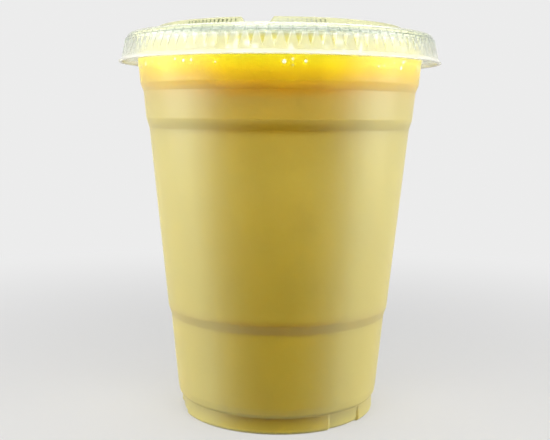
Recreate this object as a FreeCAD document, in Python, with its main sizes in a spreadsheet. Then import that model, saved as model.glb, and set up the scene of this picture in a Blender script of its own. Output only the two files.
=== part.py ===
"""A clear takeaway cup full of mango lassi, shut with a ribbed push-fit lid.

Millimetres, +Z up. The origin is the centre of the cup's standing ring, on
the surface that the cup stands on. There are three pieces: the thin cup with
its rolled lip and lobed foot, the drink that fills it, and the thin lid with
its fluted skirt and broken stacking ridge.
"""
import FreeCAD, Part
import math
import os

import Sketcher

# Driving dimensions, in millimetres and degrees.
SIZES = {
    # Cup: one thin wall, drawn up from a lobed foot in four tapered bands.
    "cup_wall": 0.45,
    "bend_shift": 0.19,
    "punt_radius": 25.6,
    "punt_rise": 3.2,
    "stand_radius": 28.8,
    "foot_radius": 32.55,
    "neck_radius": 32.4,
    "neck_height": 5.4,
    "shoulder_radius": 33.3,
    "shoulder_height": 6.3,
    "haunch_radius": 33.72,
    "haunch_height": 8.6,
    "first_band_radius": 34.1,
    "first_band_height": 12.8,
    "low_step_radius": 35.98,
    "low_step_height": 32.6,
    "second_band_radius": 36.92,
    "second_band_height": 35.4,
    "middle_step_radius": 42.85,
    "middle_step_height": 94.3,
    "third_band_radius": 43.85,
    "third_band_height": 97.5,
    "high_step_radius": 44.66,
    "high_step_height": 106.0,
    "fourth_band_radius": 45.64,
    "fourth_band_height": 108.5,
    "lip_wall_radius": 47.0,
    "lip_radius": 49.0,
    "lip_height": 123.8,
    "foot_round": 1.2,
    "floor_round": 0.7,
    "shoulder_round": 1.4,
    "step_round": 2.6,
    # Three recesses pressed into the foot.
    "recess_count": 3,
    "recess_turn": 72.5,
    "recess_span": 23.0,
    "recess_end": 0.8,
    "recess_radius": 31.75,
    "recess_height": 5.2,
    # Drink.
    "drink_level": 120.8,
    # Lid: hem, skirt, rim channel, plug, trough, ridge and flat panel.
    "lid_wall": 0.4,
    "hem_radius": 52.76,
    "hem_foot": 115.3,
    "hem_top": 115.8,
    "skirt_foot_radius": 51.8,
    "skirt_foot": 116.0,
    "skirt_top_radius": 50.6,
    "skirt_top": 121.5,
    "collar_radius": 50.42,
    "collar_top": 122.6,
    "crown_radius": 49.85,
    "crown_foot": 122.85,
    "lid_top": 124.25,
    "plug_radius": 46.1,
    "trough_radius": 45.7,
    "trough_floor": 121.7,
    "ridge_foot_radius": 41.9,
    "ridge_outer_radius": 39.9,
    "ridge_inner_radius": 37.4,
    "ridge_top": 126.7,
    "panel_radius": 36.5,
    "panel_height": 124.2,
    "crown_round": 1.2,
    "ridge_round": 0.7,
    # Flutes round the skirt, wide at the top and running out to a point.
    "flute_count": 96,
    "flute_foot": 117.4,
    "flute_depth": 0.85,
    "flute_slope": 1.35,
    "flute_reach": 0.3,
    # Gaps that break the stacking ridge.
    "gap_count": 4,
    "gap_turn": 80.2,
    "gap_half_floor": 3.35,
    "gap_slope": 0.58,
    "gap_reach": 44.0,
    # Crossed slits for a straw.
    "slit_length": 21.0,
    "slit_width": 0.5,
}

doc = FreeCAD.newDocument("mango_lassi")
sheet = doc.addObject("Spreadsheet::Sheet", "Sizes")


def fill_sheet():
    """Write every driving dimension to the sheet, under its alias."""
    for row, (alias, number) in enumerate(SIZES.items(), start=1):
        sheet.set(f"A{row}", alias)
        sheet.set(f"B{row}", str(number))
        sheet.setAlias(f"B{row}", alias)
    doc.recompute()


def cells(formula):
    """A formula of plain aliases, each with the sheet's name before it."""
    words = formula.replace("(", "( ").replace(")", " )").split()
    return " ".join(f"Sizes.{word}" if word in SIZES else word for word in words)


def number_of(formula):
    """The number that a formula of aliases gives."""
    return float(sheet.evalExpression(cells(formula)))


def bind(item, setting, formula):
    """Bind a setting of a feature or sketch to a formula of aliases."""
    item.setExpression(setting, cells(formula))


def origin_item(body, role):
    """One of a body's own origin planes or axes, by its role."""
    return next(item for item in body.Origin.OriginFeatures if item.Role == role)


def new_body(name):
    """An empty body, labelled with its piece's name."""
    body = doc.addObject("PartDesign::Body", name)
    body.Label = name
    return body


def new_sketch(body, name, role):
    """An empty sketch on one of the body's origin planes."""
    sketch = body.newObject("Sketcher::SketchObject", name)
    sketch.AttachmentSupport = (origin_item(body, role), [""])
    sketch.MapMode = "FlatFace"
    return sketch


def turn_sketch(sketch, angle):
    """Turn an upright sketch about the vertical axis."""
    upright = FreeCAD.Rotation(FreeCAD.Vector(0, 1, 0), 1)
    sketch.AttachmentOffset = FreeCAD.Placement(FreeCAD.Vector(), upright)
    bind(sketch, "AttachmentOffset.Rotation.Angle", angle)


def tie(sketch, kind, edge, end, formula):
    """Tie one coordinate of an edge's end to a formula, or to the axis at 0."""
    if formula == "0":
        axis = -2 if kind == "DistanceX" else -1
        sketch.addConstraint(Sketcher.Constraint("PointOnObject", edge, end, axis))
        return
    index = sketch.addConstraint(
        Sketcher.Constraint(kind, -1, 1, edge, end, number_of(formula))
    )
    name = f"{kind}_{edge}_{end}"
    sketch.renameConstraint(index, name)
    bind(sketch, f"Constraints.{name}", formula)


def join(sketch, edge, end, other, other_end):
    """Hold two ends of edges together."""
    sketch.addConstraint(Sketcher.Constraint("Coincident", edge, end, other, other_end))


def draw_lines(sketch, corners, closed=True, loose=()):
    """Draw edges through corners and tie all but the loose ones to the sheet."""
    places = [FreeCAD.Vector(number_of(x), number_of(y), 0) for x, y in corners]
    ends = places[1:] + places[:1] if closed else places[1:]
    first = sketch.GeometryCount
    for start, end in zip(places, ends):
        sketch.addGeometry(Part.LineSegment(start, end), False)
    last = sketch.GeometryCount - 1
    for edge in range(first, last):
        join(sketch, edge, 2, edge + 1, 1)
    if closed:
        join(sketch, last, 2, first, 1)
    for number, (across, along) in enumerate(corners):
        if number in loose:
            continue
        edge, end = (first + number, 1) if first + number <= last else (last, 2)
        tie(sketch, "DistanceX", edge, end, across)
        tie(sketch, "DistanceY", edge, end, along)
    return first, last


def revolve(body, sketch, name, kind="PartDesign::Revolution", span=None):
    """Turn a half section about the vertical axis, all round or through a span."""
    before = body.Shape.Volume if body.Tip else 0.0
    feature = body.newObject(kind, name)
    feature.Profile = sketch
    feature.ReferenceAxis = (sketch, ["V_Axis"])
    feature.Angle = 360
    if span:
        feature.Midplane = True
        bind(feature, "Angle", span)
    doc.recompute()
    confirm_change(body, name, before)
    return feature


def confirm_change(body, name, before):
    """Stop if a feature left its body's volume as it was."""
    if abs(body.Shape.Volume - before) < 1e-3:
        raise RuntimeError(f"{name} changed nothing")


def round_bends(body, name, radius, corners):
    """Round the circular edges that run through the given corners."""
    base = body.Tip
    wanted = [(number_of(across), number_of(along)) for across, along in corners]
    picked = []
    for index, edge in enumerate(base.Shape.Edges, start=1):
        curve = edge.Curve
        if not isinstance(curve, Part.Circle) or math.hypot(curve.Center.x, curve.Center.y) > 1e-3:
            continue
        if any(math.hypot(curve.Radius - r, curve.Center.z - z) < 1e-3 for r, z in wanted):
            picked.append(f"Edge{index}")
    if len(picked) != len(corners):
        raise RuntimeError(f"{name} found {len(picked)} edges for {len(corners)} bends")
    feature = body.newObject("PartDesign::Fillet", name)
    feature.Base = (base, picked)
    bind(feature, "Radius", radius)
    doc.recompute()


def repeat(body, name, feature, count):
    """Repeat a feature evenly round the vertical axis."""
    before = body.Shape.Volume
    pattern = body.newObject("PartDesign::PolarPattern", name)
    pattern.Originals = [feature]
    pattern.Axis = (origin_item(body, "Z_Axis"), [""])
    pattern.Angle = 360
    bind(pattern, "Occurrences", count)
    body.Tip = pattern
    doc.recompute()
    confirm_change(body, name, before)


def rectangle(low_x, high_x, low_y, high_y):
    """Corners of an upright rectangle, as formulas."""
    return [(low_x, low_y), (high_x, low_y), (high_x, high_y), (low_x, high_y)]


# The wall's bends above the foot, from the bottom up. At a sharp bend the
# inner surface turns a little higher than the outer one.
BENDS = [
    ("neck", "bend_shift"),
    ("shoulder", "bend_shift"),
    ("haunch", "0"),
    ("first_band", "0"),
    ("low_step", "0"),
    ("second_band", "0"),
    ("middle_step", "0"),
    ("third_band", "0"),
    ("high_step", "0"),
    ("fourth_band", "0"),
]
OUTER_FLOOR = [
    ("0", "punt_rise"),
    ("punt_radius", "punt_rise"),
    ("stand_radius", "0"),
    ("foot_radius", "0"),
]
INNER_FLOOR = [
    ("0", "punt_rise + cup_wall"),
    ("punt_radius + bend_shift", "punt_rise + cup_wall"),
    ("stand_radius + bend_shift", "cup_wall"),
    ("foot_radius - cup_wall", "cup_wall"),
]
OUTER_BENDS = [(f"{name}_radius", f"{name}_height") for name, _ in BENDS]
INNER_BENDS = [
    (f"{name}_radius - cup_wall", f"{name}_height + {shift}") for name, shift in BENDS
]


def round_wall(body, side, floor, bends, shoulder):
    """Round the bends of one side of the wall, from its floor to its top step."""
    round_bends(body, f"{side}_floor_bends", "floor_round", floor[1:3])
    round_bends(body, f"{side}_shoulder_bends", shoulder, bends[1:3])
    round_bends(body, f"{side}_step_bends", "step_round", bends[4:])


def draw_lip(sketch, wall, inner):
    """Roll the lip over: two arcs on one centre, closed by a short cut end."""
    centre = FreeCAD.Vector(
        number_of("( lip_radius + lip_wall_radius - cup_wall ) / 2"),
        number_of("lip_height - ( lip_radius - lip_wall_radius + cup_wall ) / 2"),
        0,
    )
    arcs = []
    for formula in (
        "( lip_radius - lip_wall_radius - cup_wall ) / 2",
        "( lip_radius - lip_wall_radius + cup_wall ) / 2",
    ):
        circle = Part.Circle(centre, FreeCAD.Vector(0, 0, 1), number_of(formula))
        arc = sketch.addGeometry(Part.ArcOfCircle(circle, -math.pi / 2, math.pi), False)
        index = sketch.addConstraint(Sketcher.Constraint("Radius", arc, number_of(formula)))
        sketch.renameConstraint(index, f"Radius_{arc}")
        bind(sketch, f"Constraints.Radius_{arc}", formula)
        sketch.addConstraint(Sketcher.Constraint("Vertical", arc, 3, arc, 1))
        sketch.addConstraint(Sketcher.Constraint("Horizontal", arc, 3, arc, 2))
        arcs.append(arc)
    hollow, outside = arcs
    join(sketch, hollow, 3, outside, 3)
    tie(sketch, "DistanceX", hollow, 3, "( lip_radius + lip_wall_radius - cup_wall ) / 2")
    tie(
        sketch,
        "DistanceY",
        hollow,
        3,
        "lip_height - ( lip_radius - lip_wall_radius + cup_wall ) / 2",
    )
    end = sketch.addGeometry(
        Part.LineSegment(
            sketch.Geometry[hollow].StartPoint, sketch.Geometry[outside].StartPoint
        ),
        False,
    )
    join(sketch, end, 1, hollow, 1)
    join(sketch, end, 2, outside, 1)
    join(sketch, wall, 2, hollow, 2)
    join(sketch, inner, 1, outside, 2)


def make_cup():
    """The thin cup: a half section with a rolled lip, then the lobed foot."""
    body = new_body("cup")
    sketch = new_sketch(body, "cup_section", "XZ_Plane")
    lip_end = ("lip_wall_radius", "lip_height - lip_radius + lip_wall_radius")
    lip_start = ("lip_wall_radius - cup_wall", lip_end[1])
    outside = OUTER_FLOOR + OUTER_BENDS + [lip_end]
    inside = [lip_start] + list(reversed(INNER_FLOOR + INNER_BENDS))
    first, wall = draw_lines(sketch, outside, closed=False, loose=[len(outside) - 1])
    inner, last = draw_lines(sketch, inside, closed=False, loose=[0])
    axis_side = sketch.addGeometry(
        Part.LineSegment(sketch.Geometry[last].EndPoint, sketch.Geometry[first].StartPoint),
        False,
    )
    join(sketch, axis_side, 1, last, 2)
    join(sketch, axis_side, 2, first, 1)
    draw_lip(sketch, wall, inner)
    doc.recompute()
    revolve(body, sketch, "cup_turned")
    round_wall(body, "outer", OUTER_FLOOR, OUTER_BENDS, "shoulder_round")
    round_bends(body, "foot_bend", "foot_round", OUTER_FLOOR[3:])
    round_wall(body, "inner", INNER_FLOOR, INNER_BENDS, "shoulder_round - cup_wall")
    round_bends(body, "inner_foot_bend", "foot_round - cup_wall", INNER_FLOOR[3:])
    add_sector(
        body,
        "recess_wall",
        "PartDesign::Revolution",
        rectangle(
            "recess_radius - cup_wall",
            "foot_radius - cup_wall",
            "cup_wall",
            "recess_height + cup_wall",
        ),
        "recess_span + 2 * recess_end",
    )
    add_sector(
        body,
        "recess",
        "PartDesign::Groove",
        rectangle("recess_radius", "foot_radius + 2", "0 - 1", "recess_height"),
        "recess_span",
    )
    return body


def add_sector(body, name, kind, corners, span):
    """Add or cut a short turned block, repeated for each recess of the foot."""
    sketch = new_sketch(body, f"{name}_section", "XZ_Plane")
    turn_sketch(sketch, "recess_turn")
    draw_lines(sketch, corners)
    doc.recompute()
    sector = revolve(body, sketch, name, kind, span)
    repeat(body, f"{name}_ring", sector, "recess_count")


def make_drink():
    """The drink: what the cup's inner surface holds, up to its level."""
    body = new_body("lassi")
    sketch = new_sketch(body, "drink_section", "XZ_Plane")
    lip_height = "( lip_height - ( lip_radius - lip_wall_radius + cup_wall ) / 2 )"
    rise = f"( drink_level - fourth_band_height ) / ( {lip_height} - fourth_band_height )"
    brim = f"fourth_band_radius - cup_wall + ( lip_wall_radius - fourth_band_radius ) * {rise}"
    surface = [(brim, "drink_level"), ("0", "drink_level")]
    draw_lines(sketch, INNER_FLOOR + INNER_BENDS + surface)
    doc.recompute()
    revolve(body, sketch, "drink_turned")
    round_wall(body, "drink", INNER_FLOOR, INNER_BENDS, "shoulder_round - cup_wall")
    round_bends(body, "drink_foot_bend", "foot_round - cup_wall", INNER_FLOOR[3:])
    add_sector(
        body,
        "drink_recess",
        "PartDesign::Groove",
        rectangle(
            "recess_radius - cup_wall", "foot_radius + 2", "0 - 1", "recess_height + cup_wall"
        ),
        "recess_span + 2 * recess_end",
    )
    return body


LID_TOP_SIDE = [
    ("0", "hem_foot"),
    ("hem_radius", "hem_foot"),
    ("hem_radius", "hem_top"),
    ("skirt_foot_radius", "skirt_foot"),
    ("skirt_top_radius", "skirt_top"),
    ("collar_radius", "collar_top"),
    ("crown_radius", "crown_foot"),
    ("crown_radius", "lid_top"),
    ("plug_radius", "lid_top"),
    ("trough_radius", "trough_floor"),
    ("ridge_foot_radius", "trough_floor"),
    ("ridge_outer_radius", "ridge_top"),
    ("ridge_inner_radius", "ridge_top"),
    ("panel_radius", "panel_height"),
    ("0", "panel_height"),
]
LID_UNDERSIDE = [
    ("0", "hem_foot - 1"),
    ("skirt_foot_radius - lid_wall", "hem_foot - 1"),
    ("skirt_foot_radius - lid_wall", "skirt_foot"),
    ("skirt_top_radius - lid_wall", "skirt_top"),
    ("collar_radius - lid_wall", "collar_top - lid_wall / 2"),
    ("crown_radius - lid_wall", "crown_foot - lid_wall / 2"),
    ("crown_radius - lid_wall", "lid_top - lid_wall"),
    ("plug_radius + lid_wall", "lid_top - lid_wall"),
    ("trough_radius + lid_wall", "trough_floor - lid_wall"),
    ("ridge_foot_radius - lid_wall", "trough_floor - lid_wall"),
    ("ridge_outer_radius - lid_wall", "ridge_top - lid_wall"),
    ("ridge_inner_radius + lid_wall", "ridge_top - lid_wall"),
    ("panel_radius + lid_wall", "panel_height - lid_wall"),
    ("0", "panel_height - lid_wall"),
]


def flute_triangle(body, name, level, skirt, depth, inset):
    """A triangle across the skirt at one level, its point turned to the axis."""
    sketch = new_sketch(body, name, "XY_Plane")
    bind(sketch, "AttachmentOffset.Base.z", level)
    tip = f"{skirt} - {depth} - {inset}"
    reach = f"( {depth} + {inset} + flute_reach ) * flute_slope"
    back = f"{skirt} + flute_reach"
    draw_lines(sketch, [(tip, "0"), (back, f"0 - {reach}"), (back, reach)])
    doc.recompute()
    return sketch


def cut_flutes(body, inset):
    """Press the ring of pointed flutes into the skirt."""
    foot_rise = "( flute_foot - skirt_foot ) / ( skirt_top - skirt_foot )"
    foot_skirt = f"skirt_foot_radius - ( skirt_foot_radius - skirt_top_radius ) * {foot_rise}"
    low = flute_triangle(body, "flute_low", "flute_foot", foot_skirt, "0.02", inset)
    high = flute_triangle(
        body, "flute_high", "skirt_top", "skirt_top_radius", "flute_depth", inset
    )
    before = body.Shape.Volume
    flute = body.newObject("PartDesign::SubtractiveLoft", "flute")
    flute.Profile = low
    flute.Sections = [high]
    flute.Ruled = True
    doc.recompute()
    confirm_change(body, "flute", before)
    repeat(body, "flute_ring", flute, "flute_count")


def cut_gaps(body, inset):
    """Break the ridge with gaps whose ends slope away from each other."""
    sketch = new_sketch(body, "gap_outline", "YZ_Plane")
    turn_sketch(sketch, "gap_turn")
    floor = f"panel_height - {inset}"
    half_floor = f"gap_half_floor + {inset} * 1.1"
    half_top = f"{half_floor} + ( ridge_top + 1 - panel_height ) * gap_slope"
    draw_lines(
        sketch,
        [
            (f"0 - ( {half_floor} )", floor),
            (half_floor, floor),
            (half_top, f"ridge_top + 1 - {inset}"),
            (f"0 - ( {half_top} )", f"ridge_top + 1 - {inset}"),
        ],
    )
    doc.recompute()
    before = body.Shape.Volume
    gap = body.newObject("PartDesign::Pocket", "gap")
    gap.Profile = sketch
    gap.Reversed = True
    bind(gap, "Length", "gap_reach")
    doc.recompute()
    confirm_change(body, "gap", before)
    repeat(body, "gap_ring", gap, "gap_count")


def make_lid_form(name, corners, inset):
    """A solid as wide as one side of the lid's wall, with flutes and gaps."""
    body = new_body(name)
    sketch = new_sketch(body, "lid_section", "XZ_Plane")
    draw_lines(sketch, corners)
    doc.recompute()
    revolve(body, sketch, "lid_turned")
    crown, plug, trough, ridge_foot, ridge_outer, ridge_inner, panel = corners[-8:-1]
    high_bends = [plug, ridge_outer, ridge_inner]
    low_bends = [trough, ridge_foot, panel]
    round_bends(body, f"{name}_crown_bend", f"crown_round - {inset}", [crown])
    round_bends(body, f"{name}_high_bends", f"ridge_round - {inset}", high_bends)
    round_bends(body, f"{name}_low_bends", f"ridge_round + {inset}", low_bends)
    cut_gaps(body, inset)
    cut_flutes(body, inset)
    return body


def make_lid():
    """The thin lid: its top side's form less its underside's, and the slits."""
    top_side = make_lid_form("lid_top_side", LID_TOP_SIDE, "0")
    underside = make_lid_form("lid_underside", LID_UNDERSIDE, "lid_wall")
    shell = doc.addObject("Part::Cut", "lid_shell")
    shell.Base = top_side
    shell.Tool = underside
    slits = []
    for name, length, width in (
        ("slit_along", "slit_length", "slit_width"),
        ("slit_across", "slit_width", "slit_length"),
    ):
        slit = doc.addObject("Part::Box", name)
        bind(slit, "Length", length)
        bind(slit, "Width", width)
        bind(slit, "Height", "lid_wall * 3")
        bind(slit, "Placement.Base.x", f"0 - {length} / 2")
        bind(slit, "Placement.Base.y", f"0 - {width} / 2")
        bind(slit, "Placement.Base.z", "panel_height - lid_wall * 2")
        slits.append(slit)
    cross = doc.addObject("Part::MultiFuse", "straw_cross")
    cross.Shapes = slits
    lid = doc.addObject("Part::Cut", "lid")
    lid.Label = "lid"
    lid.Base = shell
    lid.Tool = cross
    doc.recompute()
    return lid


def check_document(pieces):
    """Stop if any object failed, or a piece isn't one valid solid."""
    for item in doc.Objects:
        if {"Invalid", "Error"} & set(item.State):
            raise RuntimeError(f"{item.Label} failed: {item.State}")
    for piece in pieces:
        shape = piece.Shape
        if shape.isNull() or not shape.isValid() or len(shape.Solids) != 1:
            raise RuntimeError(f"{piece.Label} isn't one valid solid")


fill_sheet()
pieces = [make_cup(), make_drink(), make_lid()]
doc.recompute()
check_document(pieces)
os.makedirs("parts", exist_ok=True)
for piece in pieces:
    piece.Shape.exportStep(f"parts/{piece.Label}.step")
    print(piece.Label, round(piece.Shape.Volume / 1000, 2), "cm3", piece.Shape.BoundBox)
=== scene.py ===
"""The looks of a lidded takeaway cup of mango lassi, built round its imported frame.

The classes hold their sizes in millimetres and their angles in degrees. A turned
piece is one slice of its round form, which Geometry Nodes copy round the axis and
weld into a whole. Meshes are made in metres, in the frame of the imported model.
"""

from __future__ import annotations

import logging
import math
from dataclasses import dataclass
from enum import Enum
from functools import partial
from typing import Callable, Iterable, Sequence, Union

import bmesh
import bpy
from mathutils import Matrix, Vector


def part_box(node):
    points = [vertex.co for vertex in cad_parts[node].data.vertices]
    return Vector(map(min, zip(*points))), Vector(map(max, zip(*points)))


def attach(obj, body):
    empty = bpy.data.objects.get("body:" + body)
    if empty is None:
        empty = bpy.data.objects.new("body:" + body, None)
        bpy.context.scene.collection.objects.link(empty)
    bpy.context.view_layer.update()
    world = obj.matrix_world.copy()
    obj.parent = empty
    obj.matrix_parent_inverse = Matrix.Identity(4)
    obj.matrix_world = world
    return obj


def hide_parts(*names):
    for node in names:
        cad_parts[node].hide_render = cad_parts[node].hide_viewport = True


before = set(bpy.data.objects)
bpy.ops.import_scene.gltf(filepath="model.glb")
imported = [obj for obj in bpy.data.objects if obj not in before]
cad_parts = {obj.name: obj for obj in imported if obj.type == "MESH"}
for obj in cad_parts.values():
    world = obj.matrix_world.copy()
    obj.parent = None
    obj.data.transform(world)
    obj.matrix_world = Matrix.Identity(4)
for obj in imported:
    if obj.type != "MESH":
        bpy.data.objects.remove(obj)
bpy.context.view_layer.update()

LOG = logging.getLogger("lassi")
MM = 0.001
BODY = "root"
PIECE_LIMIT = 200_000
WELD = 0.002 * MM

Point = tuple[float, float]
Colour = tuple[float, float, float, float]


class Face(Enum):
    """The two faces of a thin wall, seen from outside the object."""

    OUTER = "outer"
    INNER = "inner"


# ---- node trees


def operator(operation: str, reflected: bool = False) -> Callable[[Value, Term], Value]:
    """Make the method of one of Python's operators.

    Args:
        operation: The Math node's operation.
        reflected: Whether the other term comes first.

    Returns:
        The method.
    """

    def method(self: Value, other: Term) -> Value:
        """Feed both terms to a Math node."""
        return self.graph.math(operation, *((other, self) if reflected else (self, other)))

    return method


class Value:
    """A node's output, which Python's operators extend with Math nodes."""

    def __init__(self, graph: Graph, socket: bpy.types.NodeSocket | None) -> None:
        """Keep an output socket and the graph that it belongs to."""
        self.graph = graph
        self.socket = socket

    __add__, __radd__ = operator("ADD"), operator("ADD", True)
    __sub__, __rsub__ = operator("SUBTRACT"), operator("SUBTRACT", True)
    __mul__, __rmul__ = operator("MULTIPLY"), operator("MULTIPLY", True)
    __truediv__ = operator("DIVIDE")

    def sibling(self, output: str | int) -> Value:
        """Another output of the same node, by its name or number."""
        return Value(self.graph, self.socket.node.outputs[output])

    def ramp(self, low: float, high: float) -> Value:
        """Rise smoothly from 0 at low to 1 at high."""
        sockets = {"Value": self, "From Min": low, "From Max": high}
        return self.graph.node("ShaderNodeMapRange", {"interpolation_type": "SMOOTHSTEP"}, sockets)


Term = Union[float, int, tuple, str, bpy.types.ID, Value]


class Graph:
    """A node tree that is written as calls and expressions."""

    def __init__(self, tree: bpy.types.NodeTree) -> None:
        """Wrap a tree and empty it."""
        self.tree = tree
        tree.nodes.clear()

    def node(
        self,
        kind: str,
        settings: dict[str, object] | None = None,
        sockets: dict[str | int, Term] | None = None,
        output: str | int = 0,
    ) -> Value:
        """Add a node, set it and feed it.

        Args:
            kind: The node's type.
            settings: Its own settings, with a ramp's colours under "stops".
            sockets: Values or links for its inputs, by name or number.
            output: The output to hand back.

        Returns:
            The chosen output.
        """
        node = self.tree.nodes.new(kind)
        for name, setting in (settings or {}).items():
            if name == "stops":
                self._set_stops(node, setting)
            else:
                setattr(node, name, setting)
        for name, term in (sockets or {}).items():
            if isinstance(term, Value):
                self.tree.links.new(term.socket, node.inputs[name])
            else:
                node.inputs[name].default_value = term
        return Value(self, node.outputs[output] if len(node.outputs) else None)

    @staticmethod
    def _set_stops(node: bpy.types.Node, stops: Sequence[tuple[float, Colour]]) -> None:
        """Give a colour ramp its stops.

        Args:
            node: The Color Ramp node.
            stops: Each stop's place and colour, in order.
        """
        ramp = node.color_ramp
        while len(ramp.elements) > 1:
            ramp.elements.remove(ramp.elements[-1])
        ramp.elements[0].position, ramp.elements[0].color = stops[0]
        for place, colour in stops[1:]:
            ramp.elements.new(place).color = colour

    def math(self, operation: str, *terms: Term) -> Value:
        """Feed numbers, in order, to a Math node."""
        return self.node("ShaderNodeMath", {"operation": operation}, dict(enumerate(terms)))

    def blend(self, share: Term, first: Term, second: Term) -> Value:
        """Mix two colours, where share is how much of the second shows."""
        sockets = {0: share, 6: first, 7: second}
        return self.node("ShaderNodeMix", {"data_type": "RGBA"}, sockets, 2)

    def lay(self, share: Term, under: Value, over: Value) -> Value:
        """Mix two shaders, where share is how much of the second shows."""
        return self.node("ShaderNodeMixShader", None, {0: share, 1: under, 2: over})

    def principled(self, sockets: dict[str, Term]) -> Value:
        """Add a Principled shader and feed its sockets."""
        return self.node("ShaderNodeBsdfPrincipled", None, sockets)

    def bump(self, height: Value, strength: float, depth: float) -> Value:
        """Turn a pattern of heights, so deep in metres, into a normal."""
        sockets = {"Strength": strength, "Distance": depth, "Height": height}
        return self.node("ShaderNodeBump", None, sockets)

    def place(self) -> Value:
        """The point on the piece, in metres in the piece's own frame."""
        return self.node("ShaderNodeTexCoord", output="Object")

    def parts(self, vector: Value) -> list[Value]:
        """Take a vector apart into its X, Y and Z."""
        split = self.node("ShaderNodeSeparateXYZ", None, {0: vector})
        return [split.sibling(i) for i in range(3)]

    def height(self) -> Value:
        """The height of the point on the piece, in millimetres."""
        return self.parts(self.place())[2] * (1 / MM)

    def noise(self, vector: Value, scale: float, detail: float = 2.0) -> Value:
        """Noise from 0 to 1, at a scale in lumps to the metre."""
        sockets = {"Vector": vector, "Scale": scale, "Detail": detail}
        return self.node("ShaderNodeTexNoise", None, sockets)

    def stretch(self, vector: Value, scale: tuple[float, float, float]) -> Value:
        """Stretch a pattern's space along its axes."""
        return self.node("ShaderNodeMapping", None, {"Vector": vector, "Scale": scale})

    def seen_straight(self) -> Value:
        """A mask of rays from the camera, off gloss or through clear plastic.

        Returns:
            1 for such rays, or else 0.
        """
        path = self.node("ShaderNodeLightPath", output="Is Camera Ray")
        direct = self.math("MAXIMUM", path, path.sibling("Is Glossy Ray"))
        return self.math("MAXIMUM", direct, path.sibling("Is Transmission Ray"))


# ---- finishes


@dataclass(frozen=True)
class Finish:
    """A surface's look."""

    name: str

    def surface(self, graph: Graph) -> Value:
        """Make the surface's shader."""
        raise NotImplementedError

    def material(self) -> bpy.types.Material:
        """Build the look as a material.

        Returns:
            The material.
        """
        material = bpy.data.materials.new(self.name)
        material.use_nodes = True
        graph = Graph(material.node_tree)
        graph.node("ShaderNodeOutputMaterial", None, {"Surface": self.surface(graph)})
        return material


@dataclass(frozen=True)
class ClearPlastic(Finish):
    """Clear formed plastic, a little wavy, with a painted sheen where it slants away.

    The painted sheen is a pale film that stands in for the side lamps' reflection;
    it is fainter, and starts further round, above the top band's heights.
    """

    tint: Colour
    roughness: float
    cloudiness: float
    wave: float
    wave_grain: float
    refraction: float = 1.57
    # The painted sheen: a pale film mixed in where the wall slants away, for the side lamps'
    # reflection.
    painted_sheen: Colour = (0.87, 0.85, 0.43, 1.0)
    painted_sheen_most: float = 0.5
    painted_sheen_reach: Point = (0.0, 0.36)
    top_band: Point = (105.0, 112.0)
    top_painted_sheen_share: float = 0.5
    top_painted_sheen_reach: Point = (0.26, 0.6)

    def plastic(self, graph: Graph) -> Value:
        """Make the bare plastic's shader.

        Args:
            graph: The material's graph.

        Returns:
            The shader.
        """
        ripple = graph.noise(graph.place(), self.wave_grain)
        cloud = graph.noise(graph.place(), self.wave_grain * 4, 4.0)
        return graph.principled(
            {
                "Base Color": self.tint,
                "Roughness": self.roughness + self.cloudiness * cloud,
                "IOR": self.refraction,
                "Transmission Weight": 1.0,
                "Normal": graph.bump(ripple, 1.0, self.wave * MM),
            }
        )

    def painted_film(self, graph: Graph, colour: Term) -> Value:
        """Make the pale diffuse film that paints sheen, highlights and shade over the plastic."""
        sockets = {"Base Color": colour, "Roughness": 0.5, "Specular IOR Level": 0.2}
        return graph.principled(sockets)

    def coat(self, graph: Graph) -> Value:
        """Lay the painted sheen over the plastic.

        Args:
            graph: The material's graph.

        Returns:
            The shader.
        """
        # Painted sheen: the pale film shows more where the wall slants from the view.
        slant = graph.node("ShaderNodeLayerWeight", None, {"Blend": 0.5}, "Facing")
        high = graph.height().ramp(*self.top_band)
        body = slant.ramp(*self.painted_sheen_reach) * (1 - high)
        top = slant.ramp(*self.top_painted_sheen_reach) * high * self.top_painted_sheen_share
        share = (body + top) * self.painted_sheen_most
        return graph.lay(share, self.plastic(graph), self.painted_film(graph, self.painted_sheen))

    def surface(self, graph: Graph) -> Value:
        """Make the coated plastic, which lets lamps light what it holds.

        Args:
            graph: The material's graph.

        Returns:
            The shader.
        """
        through = graph.node("ShaderNodeBsdfTransparent", None, {"Color": self.tint})
        shadow = graph.node("ShaderNodeLightPath", output="Is Shadow Ray")
        return graph.lay(shadow, self.coat(graph), through)


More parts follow.
